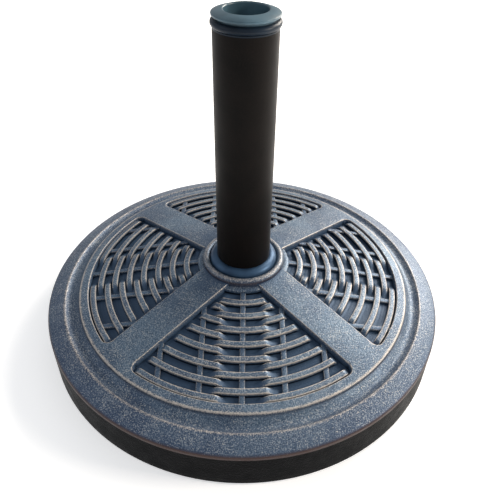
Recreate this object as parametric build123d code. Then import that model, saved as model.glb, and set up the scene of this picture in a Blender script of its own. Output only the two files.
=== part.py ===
"""Round parasol base: a weighted disc with a woven relief, and a tube that takes a parasol pole.

Millimetres, +Z up. The origin is on the floor, under the middle of the disc. The woven panels face
-Y, +X, +Y and -X, and the plain spokes between them run along the diagonals.
"""
import os
from math import ceil, sqrt

from build123d import *

# ---- clearances -------------------------------------------------------------------------------
PRESS_GAP = 0.1          # between two pieces that are pushed together
SLIP_GAP = 0.2           # between two pieces that drop in
RUNNING_GAP = 0.08       # around the reducer's sleeve, which slides in the cap
BOLT_HOLE_GAP = 0.6      # around the centre bolt, on the radius
THREAD_GAP = 0.03        # stands in for the thread between bolt and nut

# ---- disc -------------------------------------------------------------------------------------
BASE_RADIUS = 225.0
FOOT_PROUD = 2.0         # how far the rubber pads hold the disc off the floor
SIDE_TOP_Z = 46.0        # top of the upright side
SIDE_EDGE_RADIUS = 3.5
OUTER_BAND_WIDTH = 19.3  # from the side to the ridge
RIDGE_RISE = 6.7         # of the ridge above the side
RIDGE_RADIUS = 1.2
COVE_WIDTH = 15.7        # hollow moulding between ridge and rim
COVE_SAG = 3.6
RIM_STEP_WIDTH = 0.7
RIM_RISE = 4.9           # of the rim's edge above the ridge
RIM_EDGE_RADIUS = 1.0
RIM_WIDTH = 10.1         # flat border outside the woven panels
TOP_SLOPE = 0.178        # rise of the top towards the hub, per mm of radius
SHELL_WALL = 7.0
POCKET_DEPTH = 8.0       # from the top down to the floor of a woven panel
SPOKE_HALF_WIDTH = 19.6
POCKET_CORNER_RADIUS = 9.0

# ---- woven relief, as depths under the top surface --------------------------------------------
HUB_STRIP_WIDTH = 5.4    # plain flat strip beside the hub ring
FIRST_ROW_OFFSET = 10.8  # from the hub ring to the middle of the first row
ROW_PITCH = 8.15
STRAND_WIDTH = 7.0
LAST_ROW_GAP = 1.0       # least gap between the last row and the rim
UNDER_DEPTH = 5.2        # where a strand passes under a stake
STAKE_DEPTH = 3.9
OVER_DEPTH = 2.0         # where a strand passes over a stake
STAKE_PITCH = 41.5
STAKE_WIDTH = 6.3
MIDDLE_STRAND_REACH = 26.0   # half the length of the strands over the middle stake
SIDE_STRAND_START = 22.0     # where the strands over the side stakes begin

# ---- tube and its end plate -------------------------------------------------------------------
TUBE_RADIUS = 30.0
TUBE_WALL = 1.5
TUBE_HEIGHT = 281.0      # from its seat in the hub to its top
END_PLATE_THICKNESS = 4.0

# ---- hub --------------------------------------------------------------------------------------
HUB_RING_WIDTH = 7.9
HUB_RING_RISE = 5.5      # above the top surface beside it
SEAT_THICKNESS = 10.0
TUBE_SEAT_DEPTH = 17.0   # of the tube's seat under the top surface at the hub
SPIGOT_WALL = 10.4       # around the bolt, down through the ballast

# ---- foot collar ------------------------------------------------------------------------------
COLLAR_WIDTH = 8.5
COLLAR_RISE = 10.0       # of its crest above the top surface at the hub
COLLAR_SIDE_RISE = 3.0   # of the top of its upright side
COLLAR_FLANGE_DEPTH = 3.0
COLLAR_SLEEVE_WALL = 3.2
COLLAR_SLEEVE_GAP = 2.0  # under the sleeve, above the tube's seat

# ---- bottom cover, ballast and pads -----------------------------------------------------------
COVER_WALL = 3.0
FOOT_RING_WIDTH = 31.0
FOOT_RING_THICKNESS = 6.0
DISH_SLOPE_WIDTH = 16.0
DISH_DEPTH = 18.0        # of the cover's middle above its foot ring
PAD_COUNT = 6
PAD_RADIUS = 11.0
PAD_SEAT_DEPTH = 3.0

# ---- centre bolt, M10 -------------------------------------------------------------------------
BOLT_RADIUS = 5.0
BOLT_HEAD_FLATS = 16.0
BOLT_HEAD_HEIGHT = 6.4
BOLT_END_PROUD = 5.0     # of the nut
NUT_HEIGHT = 8.0
NUT_BEVEL = 1.0
WASHER_RADIUS = 30.0
WASHER_THICKNESS = 3.0
LOCK_WASHER_RADIUS = 9.0
LOCK_WASHER_THICKNESS = 2.5
LOCK_WASHER_SLIT = 1.6

# ---- pole and what guides it ------------------------------------------------------------------
WIDE_POLE_BORE = 24.7    # takes a 48 mm pole
NARROW_POLE_BORE = 20.0  # takes a 38 mm pole
SEAT_PLUG_FLOOR = 4.0
NARROW_SEAT_DEPTH = 14.0
WIDE_SEAT_DEPTH = 12.0
SEAT_FUNNEL_HEIGHT = 5.0
BOLT_END_ROOM = 3.0      # under the plug's floor

CAP_SLEEVE_LENGTH = 30.0
CAP_NECK_HEIGHT = 1.2
CAP_RING_HEIGHT = 7.0
CAP_RING_PROUD = 1.8     # of the tube

REDUCER_SLEEVE_LENGTH = 40.0
GROOVE_HEIGHT = 2.8      # between the two lips
GROOVE_DEPTH = 4.0
LIP_PROUD = 0.9          # of the tube
LIP_EDGE = 2.0
LIP_CONE_HEIGHT = 3.0
BORE_EDGE_RADIUS = 1.5

# ---- sizes that follow ------------------------------------------------------------------------
RIDGE_R = BASE_RADIUS - OUTER_BAND_WIDTH
RIDGE_Z = SIDE_TOP_Z + RIDGE_RISE
COVE_END_R = RIDGE_R - COVE_WIDTH
RIM_R = COVE_END_R - RIM_STEP_WIDTH
RIM_Z = RIDGE_Z + RIM_RISE
POCKET_R = RIM_R - RIM_WIDTH

COLLAR_R = TUBE_RADIUS + COLLAR_WIDTH
HUB_SOCKET_R = COLLAR_R + SLIP_GAP
HUB_RING_R = HUB_SOCKET_R + HUB_RING_WIDTH


def top_z(radius):
    """Height of the plain top surface, a shallow cone, at a radius."""
    return RIM_Z + (RIM_R - radius) * TOP_SLOPE


HUB_Z = top_z(HUB_RING_R)
SEAT_Z = HUB_Z - TUBE_SEAT_DEPTH
TUBE_TOP_Z = SEAT_Z + TUBE_HEIGHT
TUBE_BORE_R = TUBE_RADIUS - TUBE_WALL
COLLAR_SLEEVE_R = TUBE_RADIUS + PRESS_GAP + COLLAR_SLEEVE_WALL
COLLAR_SHELF_Z = HUB_Z - COLLAR_FLANGE_DEPTH
SKIN_DEPTH = POCKET_DEPTH + SHELL_WALL - 1.0
HUB_BLOCK_R = HUB_RING_R + 1.5

BOLT_HOLE_R = BOLT_RADIUS + BOLT_HOLE_GAP
SPIGOT_R = BOLT_HOLE_R + SPIGOT_WALL
COVER_R = BASE_RADIUS - SHELL_WALL - SLIP_GAP
FOOT_RING_R = COVER_R - FOOT_RING_WIDTH
DISH_R = FOOT_RING_R - DISH_SLOPE_WIDTH
DISH_Z = FOOT_PROUD + DISH_DEPTH
DISH_TOP_Z = DISH_Z + COVER_WALL
FOOT_RING_TOP_Z = FOOT_PROUD + FOOT_RING_THICKNESS
PAD_PLACE_R = COVER_R - FOOT_RING_WIDTH / 2

NUT_Z = SEAT_Z + END_PLATE_THICKNESS
BOLT_END_Z = NUT_Z + NUT_HEIGHT + BOLT_END_PROUD
PLUG_R = TUBE_BORE_R - SLIP_GAP

CAP_RING_Z = TUBE_TOP_Z + CAP_NECK_HEIGHT
CAP_TOP_Z = CAP_RING_Z + CAP_RING_HEIGHT
LIP_Z = CAP_TOP_Z + GROOVE_HEIGHT
TOP_Z = LIP_Z + LIP_EDGE + LIP_CONE_HEIGHT


def outline(points):
    """A flat face in the XZ plane from (radius, height) corners."""
    return make_face(Polyline(*[(r, 0, z) for r, z in points], close=True))


def turned(face):
    """The solid that a face in the XZ plane sweeps about Z."""
    return revolve(face, Axis.Z)


def tube_piece(inner, outer, low, high):
    return turned(outline([(inner, low), (outer, low), (outer, high), (inner, high)]))


def hexagon_prism(flats, low, height):
    return Pos(0, 0, low) * extrude(RegularPolygon(flats / 2, 6, major_radius=False), height)


# ---- base shell -------------------------------------------------------------------------------
def cavity_points():
    """The shell's inside, from the hub block out to the side wall."""
    hub_block_z = SEAT_Z - SEAT_THICKNESS
    side_r = BASE_RADIUS - SHELL_WALL
    shoulder_r = side_r - SHELL_WALL
    return [
        (SPIGOT_R, hub_block_z),
        (HUB_BLOCK_R, hub_block_z),
        (HUB_BLOCK_R, top_z(HUB_BLOCK_R) - SKIN_DEPTH),
        (RIM_R, RIM_Z - SKIN_DEPTH),
        (shoulder_r, SIDE_TOP_Z - SHELL_WALL + 2.0),
        (side_r, SIDE_TOP_Z - 2 * SHELL_WALL),
    ]


def shell_blank():
    """The shell before its woven panels are sunk."""
    cove_middle = (RIDGE_R - COVE_WIDTH / 2, 0, RIDGE_Z + RIM_RISE / 4 - COVE_SAG)
    cove_end = (COVE_END_R, 0, RIDGE_Z + RIM_RISE / 2)
    ring_side_z = HUB_Z + HUB_RING_RISE - HUB_RING_WIDTH / 2
    ring_crest = (HUB_SOCKET_R + HUB_RING_WIDTH / 2, 0, HUB_Z + HUB_RING_RISE)
    side_r = BASE_RADIUS - SHELL_WALL
    edges = [
        Polyline((side_r, 0, FOOT_PROUD), (BASE_RADIUS, 0, FOOT_PROUD),
                 (BASE_RADIUS, 0, SIDE_TOP_Z), (RIDGE_R, 0, RIDGE_Z)),
        ThreePointArc((RIDGE_R, 0, RIDGE_Z), cove_middle, cove_end),
        Polyline(cove_end, (RIM_R, 0, RIM_Z), (HUB_RING_R, 0, HUB_Z), (HUB_RING_R, 0, ring_side_z)),
        ThreePointArc((HUB_RING_R, 0, ring_side_z), ring_crest, (HUB_SOCKET_R, 0, ring_side_z)),
        Polyline((HUB_SOCKET_R, 0, ring_side_z), (HUB_SOCKET_R, 0, COLLAR_SHELF_Z),
                 (COLLAR_SLEEVE_R + SLIP_GAP, 0, COLLAR_SHELF_Z),
                 (COLLAR_SLEEVE_R + SLIP_GAP, 0, SEAT_Z), (BOLT_HOLE_R, 0, SEAT_Z),
                 (BOLT_HOLE_R, 0, DISH_TOP_Z), (SPIGOT_R, 0, DISH_TOP_Z),
                 *[(r, 0, z) for r, z in cavity_points()], (side_r, 0, FOOT_PROUD)),
    ]
    blank = turned(make_face(edges))
    rounded = [(BASE_RADIUS, SIDE_TOP_Z, SIDE_EDGE_RADIUS), (RIDGE_R, RIDGE_Z, RIDGE_RADIUS),
               (RIM_R, RIM_Z, RIM_EDGE_RADIUS)]
    for radius, height, size in rounded:
        circles = [e for e in blank.edges() if e.geom_type == GeomType.CIRCLE
                   and abs(e.radius - radius) < 1e-3 and abs(e.center().Z - height) < 1e-3]
        blank = fillet(circles, size)
    return blank


def panel_face():
    """Outline of the woven panel that faces -Y."""
    apex = -SPOKE_HALF_WIDTH * sqrt(2)
    far = apex - 2 * BASE_RADIUS
    wedge = make_face(Polyline((0, apex), (-2 * BASE_RADIUS, far), (2 * BASE_RADIUS, far), close=True))
    panel = (Circle(POCKET_R) - Circle(HUB_RING_R)) & wedge
    outer = [v for v in panel.vertices() if (v.X ** 2 + v.Y ** 2) ** 0.5 > POCKET_R - 1]
    return fillet(outer, POCKET_CORNER_RADIUS)


def row_middles():
    """Radii of the strand rows: as many as fit between the hub's strip and the rim."""
    first = HUB_RING_R + FIRST_ROW_OFFSET
    last = POCKET_R - LAST_ROW_GAP - STRAND_WIDTH / 2
    return [first + ROW_PITCH * row for row in range(int((last - first) / ROW_PITCH) + 1)]


def cleared(floor_depth, *row_depths):
    """All that lies above one cross-section of the weave: rows of two depths over a floor.

    The two depths take turns from the hub outwards, and None leaves a row out.
    """
    low_r, strip_r, high_r = HUB_RING_R - 1, HUB_RING_R + HUB_STRIP_WIDTH, POCKET_R + 1
    corners = [(low_r, OVER_DEPTH), (strip_r, OVER_DEPTH), (strip_r, floor_depth)]
    for row, middle in enumerate(row_middles()):
        depth = row_depths[row % 2]
        if depth is None:
            continue
        inner, outer = middle - STRAND_WIDTH / 2, middle + STRAND_WIDTH / 2
        corners += [(inner, floor_depth), (inner, depth), (outer, depth), (outer, floor_depth)]
    corners.append((high_r, floor_depth))
    points = [(radius, top_z(radius) - depth) for radius, depth in corners]
    return turned(outline(points + [(high_r, TUBE_TOP_Z), (low_r, TUBE_TOP_Z)]))


def weave_zones():
    """Bands across a panel as (start, end, kind), measured from its middle line to one side."""
    half_stake = STAKE_WIDTH / 2
    widest = POCKET_R * sqrt(0.5)
    zones = [(0, half_stake, "middle stake"), (half_stake, SIDE_STRAND_START, "middle strands"),
             (SIDE_STRAND_START, MIDDLE_STRAND_REACH, "both strands")]
    start = MIDDLE_STRAND_REACH
    for stake in range(1, ceil(widest / STAKE_PITCH)):
        place = stake * STAKE_PITCH
        zones += [(start, place - half_stake, "side strands"),
                  (place - half_stake, place + half_stake, "side stake")]
        start = place + half_stake
    return zones + [(start, BASE_RADIUS, "side strands")]


def panel_cuts():
    """What is removed for the panel that faces -Y, one solid for each band."""
    clearings = {
        "middle stake": cleared(STAKE_DEPTH, None, OVER_DEPTH),
        "side stake": cleared(STAKE_DEPTH, OVER_DEPTH, None),
        "middle strands": cleared(POCKET_DEPTH, UNDER_DEPTH, OVER_DEPTH),
        "side strands": cleared(POCKET_DEPTH, OVER_DEPTH, UNDER_DEPTH),
        "both strands": cleared(POCKET_DEPTH, OVER_DEPTH, OVER_DEPTH),
    }
    panel = extrude(panel_face(), TUBE_TOP_Z)
    clearings = {kind: solid & panel for kind, solid in clearings.items()}
    cuts = []
    for start, end, kind in weave_zones():
        band = Pos((start + end) / 2, -BASE_RADIUS / 2, TUBE_TOP_Z / 2) * Box(
            end - start, BASE_RADIUS, TUBE_TOP_Z)
        for side in (band, mirror(band, Plane.YZ)):
            cuts += (clearings[kind] & side).solids()
    return cuts


def base_shell():
    cuts = panel_cuts()
    return shell_blank() - [Rot(0, 0, 90 * quarter) * cut for quarter in range(4) for cut in cuts]


# ---- what is under and inside the shell -------------------------------------------------------
def concrete_ballast():
    """Fills the shell from its cavity down to the cover."""
    side_r = BASE_RADIUS - SHELL_WALL
    return turned(outline([
        (SPIGOT_R, DISH_TOP_Z), *cavity_points(), (side_r, FOOT_RING_TOP_Z),
        (FOOT_RING_R + COVER_WALL, FOOT_RING_TOP_Z), (DISH_R, DISH_TOP_Z)]))


def pad_places():
    return PolarLocations(PAD_PLACE_R, PAD_COUNT)


def bottom_cover():
    """Dished closing plate with a flat ring around it for the pads."""
    dish = turned(outline([
        (BOLT_HOLE_R, DISH_Z), (DISH_R - COVER_WALL, DISH_Z), (FOOT_RING_R, FOOT_PROUD),
        (COVER_R, FOOT_PROUD), (COVER_R, FOOT_RING_TOP_Z),
        (FOOT_RING_R + COVER_WALL, FOOT_RING_TOP_Z), (DISH_R, DISH_TOP_Z),
        (BOLT_HOLE_R, DISH_TOP_Z)]))
    seat = Pos(0, 0, FOOT_PROUD) * extrude(Circle(PAD_RADIUS + PRESS_GAP), PAD_SEAT_DEPTH)
    return dish - [place * seat for place in pad_places()]


def foot_pads():
    """One rubber pad for each seat in the cover."""
    pad = extrude(Circle(PAD_RADIUS), FOOT_PROUD + PAD_SEAT_DEPTH)
    return {f"foot_pad_{number}": place * pad for number, place in enumerate(pad_places(), 1)}


# ---- tube, its fixing and its collar ----------------------------------------------------------
def socket_tube():
    return tube_piece(TUBE_BORE_R, TUBE_RADIUS, SEAT_Z, TUBE_TOP_Z)


def tube_end_plate():
    return tube_piece(BOLT_HOLE_R, TUBE_BORE_R, SEAT_Z, NUT_Z)


def weld_nut():
    nut = hexagon_prism(BOLT_HEAD_FLATS, NUT_Z, NUT_HEIGHT)
    nut = nut & tube_piece(0, BOLT_HEAD_FLATS / 2 + NUT_BEVEL, NUT_Z, NUT_Z + NUT_HEIGHT)
    return nut - tube_piece(0, BOLT_RADIUS + THREAD_GAP, NUT_Z, NUT_Z + NUT_HEIGHT)


def centre_bolt():
    head_top = DISH_Z - WASHER_THICKNESS - LOCK_WASHER_THICKNESS
    head = hexagon_prism(BOLT_HEAD_FLATS, head_top - BOLT_HEAD_HEIGHT, BOLT_HEAD_HEIGHT)
    head = head & Pos(0, 0, head_top) * Sphere(BOLT_HEAD_FLATS * 0.6)
    shank = tube_piece(0, BOLT_RADIUS, head_top, BOLT_END_Z)
    tip = shank.edges().group_by(Axis.Z)[-1]
    return head + chamfer(tip, 1.0)


def plate_washer():
    return tube_piece(BOLT_HOLE_R, WASHER_RADIUS, DISH_Z - WASHER_THICKNESS, DISH_Z)


def lock_washer():
    top = DISH_Z - WASHER_THICKNESS
    ring = tube_piece(BOLT_RADIUS + PRESS_GAP, LOCK_WASHER_RADIUS, top - LOCK_WASHER_THICKNESS, top)
    slit = Pos(LOCK_WASHER_RADIUS / 2, 0, top) * Box(
        LOCK_WASHER_RADIUS, LOCK_WASHER_SLIT, 3 * LOCK_WASHER_THICKNESS)
    return ring - Rot(0, 0, 30) * slit


def foot_collar():
    """Rounded ring around the foot of the tube, with a sleeve that centres the tube."""
    inner = TUBE_RADIUS + PRESS_GAP
    crest_z = HUB_Z + COLLAR_RISE
    sleeve_low = SEAT_Z + COLLAR_SLEEVE_GAP
    shoulder = (COLLAR_R, 0, HUB_Z + COLLAR_SIDE_RISE)
    bulge = (TUBE_RADIUS + COLLAR_WIDTH * 0.72, 0, HUB_Z + COLLAR_RISE * 0.76)
    edges = [
        Polyline((inner, 0, crest_z), (inner, 0, sleeve_low), (COLLAR_SLEEVE_R, 0, sleeve_low),
                 (COLLAR_SLEEVE_R, 0, COLLAR_SHELF_Z), (COLLAR_R, 0, COLLAR_SHELF_Z), shoulder),
        ThreePointArc(shoulder, bulge, (inner, 0, crest_z)),
    ]
    return turned(make_face(edges))


# ---- what guides the pole ---------------------------------------------------------------------
def pole_seat_plug():
    """Stepped cup at the bottom of the tube that centres the end of either size of pole."""
    floor_low = BOLT_END_Z + BOLT_END_ROOM
    floor_top = floor_low + SEAT_PLUG_FLOOR
    narrow_top = floor_top + NARROW_SEAT_DEPTH
    wide_top = narrow_top + WIDE_SEAT_DEPTH
    skirt_inner = PLUG_R - COVER_WALL
    return turned(outline([
        (0, floor_low), (skirt_inner, floor_low), (skirt_inner, NUT_Z), (PLUG_R, NUT_Z),
        (PLUG_R, wide_top + SEAT_FUNNEL_HEIGHT), (PLUG_R - 1, wide_top + SEAT_FUNNEL_HEIGHT),
        (WIDE_POLE_BORE, wide_top), (WIDE_POLE_BORE, narrow_top), (NARROW_POLE_BORE, narrow_top),
        (NARROW_POLE_BORE, floor_top), (0, floor_top)]))


def tube_cap():
    """Plastic collar on the tube's end, bored for a 48 mm pole."""
    ring_r = TUBE_RADIUS + CAP_RING_PROUD
    bulge_start = ring_r - CAP_RING_HEIGHT / 2
    edges = [
        Polyline((bulge_start, 0, CAP_TOP_Z), (WIDE_POLE_BORE, 0, CAP_TOP_Z),
                 (WIDE_POLE_BORE, 0, TUBE_TOP_Z - CAP_SLEEVE_LENGTH),
                 (TUBE_BORE_R - PRESS_GAP, 0, TUBE_TOP_Z - CAP_SLEEVE_LENGTH),
                 (TUBE_BORE_R - PRESS_GAP, 0, TUBE_TOP_Z), (TUBE_RADIUS, 0, TUBE_TOP_Z),
                 (TUBE_RADIUS, 0, CAP_RING_Z + 0.2), (bulge_start, 0, CAP_RING_Z)),
        ThreePointArc((bulge_start, 0, CAP_RING_Z), (ring_r, 0, CAP_RING_Z + CAP_RING_HEIGHT / 2),
                      (bulge_start, 0, CAP_TOP_Z)),
    ]
    return turned(make_face(edges))


def reducer_insert():
    """Loose sleeve with a conical lip that narrows the cap for a 38 mm pole, and lifts out."""
    sleeve_r = WIDE_POLE_BORE - RUNNING_GAP
    sleeve_low = CAP_TOP_Z - REDUCER_SLEEVE_LENGTH
    lip_r = TUBE_RADIUS + LIP_PROUD
    groove_r = lip_r - GROOVE_DEPTH
    flat_r = NARROW_POLE_BORE + BORE_EDGE_RADIUS
    edges = [
        Polyline((flat_r, 0, TOP_Z), (lip_r, 0, LIP_Z + LIP_EDGE), (lip_r, 0, LIP_Z),
                 (groove_r, 0, LIP_Z), (groove_r, 0, CAP_TOP_Z), (sleeve_r, 0, CAP_TOP_Z),
                 (sleeve_r, 0, sleeve_low), (NARROW_POLE_BORE, 0, sleeve_low),
                 (NARROW_POLE_BORE, 0, TOP_Z - BORE_EDGE_RADIUS)),
        ThreePointArc((NARROW_POLE_BORE, 0, TOP_Z - BORE_EDGE_RADIUS),
                      (flat_r - BORE_EDGE_RADIUS * sqrt(0.5), 0,
                       TOP_Z - BORE_EDGE_RADIUS * (1 - sqrt(0.5))),
                      (flat_r, 0, TOP_Z)),
    ]
    return turned(make_face(edges))


def main():
    pieces = {
        "base_shell": base_shell(),
        "concrete_ballast": concrete_ballast(),
        "bottom_cover": bottom_cover(),
        **foot_pads(),
        "socket_tube": socket_tube(),
        "tube_end_plate": tube_end_plate(),
        "weld_nut": weld_nut(),
        "centre_bolt": centre_bolt(),
        "plate_washer": plate_washer(),
        "lock_washer": lock_washer(),
        "foot_collar": foot_collar(),
        "pole_seat_plug": pole_seat_plug(),
        "tube_cap": tube_cap(),
        "reducer_insert": reducer_insert(),
    }
    os.makedirs("parts", exist_ok=True)
    for name, piece in pieces.items():
        export_step(piece, f"parts/{name}.step")
    print(f"{len(row_middles())} rows of strands, the last at radius {row_middles()[-1]:.2f}")
    print(f"seat {SEAT_Z:.2f}, hub {HUB_Z:.2f}, tube top {TUBE_TOP_Z:.2f}, top {TOP_Z:.2f}")


main()
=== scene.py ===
# %% [markdown]
# # A parasol base with a woven relief
# The base is a heavy round casting with a wicker pattern in its top, an upright steel tube for the
# pole, a smooth ring at the tube's foot, and two plastic lips at its mouth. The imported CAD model
# gives every place and size. The cells below build the surfaces that are seen, one piece at a time.

# %% Load the CAD frame
import math

import bmesh
import bpy
import numpy as np
from mathutils import Matrix, Vector


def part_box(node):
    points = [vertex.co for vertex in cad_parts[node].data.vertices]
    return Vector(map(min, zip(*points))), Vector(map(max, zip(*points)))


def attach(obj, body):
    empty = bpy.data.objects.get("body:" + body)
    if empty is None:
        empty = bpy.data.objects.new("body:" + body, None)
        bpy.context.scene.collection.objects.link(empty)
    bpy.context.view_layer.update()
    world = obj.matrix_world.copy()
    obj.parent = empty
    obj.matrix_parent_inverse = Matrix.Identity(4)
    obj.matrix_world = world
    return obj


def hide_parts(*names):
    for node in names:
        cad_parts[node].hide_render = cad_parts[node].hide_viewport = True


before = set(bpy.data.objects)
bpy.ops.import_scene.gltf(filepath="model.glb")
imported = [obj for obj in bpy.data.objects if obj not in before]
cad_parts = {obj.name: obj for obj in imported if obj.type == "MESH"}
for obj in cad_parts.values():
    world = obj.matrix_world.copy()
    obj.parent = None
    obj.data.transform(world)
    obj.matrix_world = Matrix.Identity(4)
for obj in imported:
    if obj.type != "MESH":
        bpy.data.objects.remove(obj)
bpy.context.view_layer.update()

# %% [markdown]
# ## Sizes
# The frame gives the outside sizes. The rest are the casting's own proportions, in millimetres, as
# its drawing would state them. `MM` turns them into Blender's metres. An edge that turns by more
# than `SHARP_EDGE` stays crisp, and the rest of a mesh is shaded smooth.

# %% Sizes of the casting
MM = 0.001
shell_low, shell_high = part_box("base_shell")
BASE_R = shell_high.y / MM
FOOT_Z = shell_low.z / MM
SIDE_TOP_Z = 46.0
RIDGE_R, RIDGE_Z = BASE_R - 19.3, SIDE_TOP_Z + 6.7
COVE_WIDTH = 15.7
COVE_END_R = RIDGE_R - COVE_WIDTH
RIM_R, RIM_Z = COVE_END_R - 0.7, RIDGE_Z + 4.9
PANEL_R = RIM_R - 10.1
SLOPE = 0.178
SPOKE_HALF = 19.6
HUB_SOCKET_R = 38.7
HUB_RING_WIDTH = 7.9
HUB_RING_R = HUB_SOCKET_R + HUB_RING_WIDTH
SHARP_EDGE = math.radians(42)
print(f"disc radius {BASE_R:.1f} mm, woven panels from {HUB_RING_R:.1f} to {PANEL_R:.1f} mm")


def deck_z(radius):
    """Height of the plain top, a shallow cone, in millimetres."""
    return RIM_Z + (RIM_R - radius) * SLOPE


# %% [markdown]
# ## Small helpers
# A mesh comes from a list of points and faces. Its doubles are merged and its faces turned outwards
# once, here, so that no later cell has to think of it. A number kept on each point, an attribute,
# tells a material where an edge is rubbed or shaded. A node's inputs are filled by name, or by number
# where a name isn't enough. In a Map Range node, 1 and 2 are where a ramp starts and ends, and 3 and
# 4 are what it gives there.


# %% Mesh helper
def mesh_piece(name, points, faces, attributes=None):
    """A new object from points in metres, with float attributes on its points."""
    mesh = bpy.data.meshes.new(name)
    mesh.from_pydata([tuple(p) for p in points], [], faces)
    for label, values in (attributes or {}).items():
        layer = mesh.attributes.new(label, "FLOAT", "POINT")
        layer.data.foreach_set("value", np.asarray(values, np.float32))
    solid = bmesh.new()
    solid.from_mesh(mesh)
    bmesh.ops.remove_doubles(solid, verts=solid.verts, dist=0.002 * MM)
    bmesh.ops.recalc_face_normals(solid, faces=solid.faces)
    solid.to_mesh(mesh)
    solid.free()
    mesh.shade_smooth()
    mesh.set_sharp_from_angle(angle=SHARP_EDGE)
    piece = bpy.data.objects.new(name, mesh)
    bpy.context.scene.collection.objects.link(piece)
    print(f"{name}: {len(mesh.vertices)} points, {len(mesh.polygons)} faces")
    return piece


# %% Node helper
def add_node(tree, kind, inputs=None, out=0, **settings):
    """Adds a node with its settings, fills or links its inputs, and gives one of its outputs."""
    node = tree.nodes.new(kind)
    for name, value in settings.items():
        setattr(node, name, value)
    for key, value in (inputs or {}).items():
        if isinstance(value, bpy.types.NodeSocket):
            tree.links.new(value, node.inputs[key])
        else:
            node.inputs[key].default_value = value
    return node.outputs[out] if node.outputs else node


# %% Colour helper
def colour(hex_code):
    """A linear colour with alpha, from an sRGB hex code."""
    channels = [int(hex_code[i:i + 2], 16) / 255 for i in (1, 3, 5)]
    return [c / 12.92 if c < 0.04045 else ((c + 0.055) / 1.055) ** 2.4 for c in channels] + [1.0]


# %% [markdown]
# ## Floor, camera and light
# The floor is plain and pale. The camera looks down at the base from the front, and its small
# vertical shift keeps the tube's mouth in the picture. The light is soft: a large panel behind and
# to the right draws the pale sheen on that side of the disc, and weaker ones fill the rest.

# %% Floor
bpy.ops.mesh.primitive_plane_add(size=6.0)
floor = bpy.context.object
floor.name = "floor"
floor_paint = bpy.data.materials.new("matt_white_floor")
floor_paint.use_nodes = True
floor_surface = floor_paint.node_tree.nodes["Principled BSDF"]
floor_surface.inputs["Base Color"].default_value = colour("#f8f8f8")
floor_surface.inputs["Roughness"].default_value = 0.9
floor_surface.inputs["Emission Color"].default_value = colour("#ffffff")
floor_surface.inputs["Emission Strength"].default_value = 0.45
floor.data.materials.append(floor_paint)

# %% Camera
camera_distance = 3.0522 * BASE_R * MM
camera_rise = math.radians(46.03)
camera_roll = math.radians(1.145)
target = Vector((6.9, 0, 131.0)) * MM
camera_data = bpy.data.cameras.new("camera")
camera_data.sensor_width = 36
camera_data.lens = 38.87
camera_data.shift_y = -0.05
camera = bpy.data.objects.new("camera", camera_data)
bpy.context.scene.collection.objects.link(camera)
camera.location = (0, -camera_distance * math.cos(camera_rise), camera_distance * math.sin(camera_rise))
aim = (target - camera.location).to_track_quat("-Z", "Y").to_matrix()
camera.rotation_euler = (aim @ Matrix.Rotation(camera_roll, 3, "Z")).to_euler()
bpy.context.scene.camera = camera
print("camera at", [round(v, 3) for v in camera.location])


# %% Light
def soft_panel(name, place, size, watts, tint):
    """A square light panel that faces the middle of the base."""
    light = bpy.data.lights.new(name, "AREA")
    light.size = size
    light.energy = watts
    light.color = colour(tint)[:3]
    panel = bpy.data.objects.new(name, light)
    panel.location = place
    panel.rotation_euler = (Vector((0, 0, 0.1)) - panel.location).to_track_quat("-Z", "Y").to_euler()
    bpy.context.scene.collection.objects.link(panel)


soft_panel("back_right_panel", (1.4, 1.5, 1.2), 1.2, 72, "#fff6ea")
soft_panel("right_panel", (2.1, -0.3, 1.2), 0.6, 36, "#fff4e6")
soft_panel("left_panel", (-2.0, -0.4, 1.5), 1.4, 5, "#eef3ff")
world = bpy.data.worlds.new("even_sky")
world.use_nodes = True
world.node_tree.nodes["Background"].inputs["Color"].default_value = colour("#f5f7fa")
world.node_tree.nodes["Background"].inputs["Strength"].default_value = 0.5
bpy.context.scene.world = world
bpy.context.scene.view_settings.view_transform = "Standard"


# %% [markdown]
# ## The casting's finish
# The disc is cast polyresin. It is sprayed metallic blue-grey over a brown undercoat, and a pale
# bronze is dry-brushed over that, which stays on edges and on the high grains of the cast surface.
# One material serves the disc and its weave. The attribute `rub` says how much bronze an edge has
# taken. A second attribute is painted shade in the recesses: it darkens the foot of the panel walls
# and of the hub ring, the sides of the strands and stakes, and the strands low in the weave, and it
# gives the panels' ground a darker tone that is partly its own and partly painted shade. A third
# darkens to brown at half and to nearly black at full: brown undercoat on the disc's top edge, brown
# painted shade at the step under the rim and round the hub ring's foot, painted shade in the collar's
# socket, and a nearly black side wall. The spray is bluer outside the inner rim, which is worked out
# from the distance to the middle. The rest is noise on Object coordinates, with each pattern's size
# in millimetres. The real grains are finer than half a millimetre, and are drawn coarser so that
# they show.


# %% Start of a finish, and coats of colour
def new_finish(name, **even_values):
    """A material with values that are even all over: itself, its tree, its inputs and a place."""
    finish = bpy.data.materials.new(name)
    finish.use_nodes = True
    surface = finish.node_tree.nodes["Principled BSDF"].inputs
    for label, value in even_values.items():
        surface[label.replace("_", " ")].default_value = value
    place = add_node(finish.node_tree, "ShaderNodeTexCoord", out="Object")
    return finish, finish.node_tree, surface, place


def coated(tree, ground, *coats):
    """Coats of colour over a ground colour. Each one shows as its driver goes from low to high."""
    result = colour(ground)
    for hex_code, driver, low, high, strength in coats:
        mask = add_node(tree, "ShaderNodeMapRange", {0: driver, 1: low, 2: high, 3: 0.0, 4: strength},
                        interpolation_type="SMOOTHSTEP")
        result = add_node(tree, "ShaderNodeMix", {0: mask, 6: result, 7: colour(hex_code)},
                          out=2, data_type="RGBA")
    return result


# %% Dry-brushed polyresin
CLOUD_SIZE, PATCH_SIZE, FLECK_SIZE, GRAIN_SIZE = 70, 14, 1.1, 2.4
DARKENED_ENDS = {1: 0.2, 2: 0.95}


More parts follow.
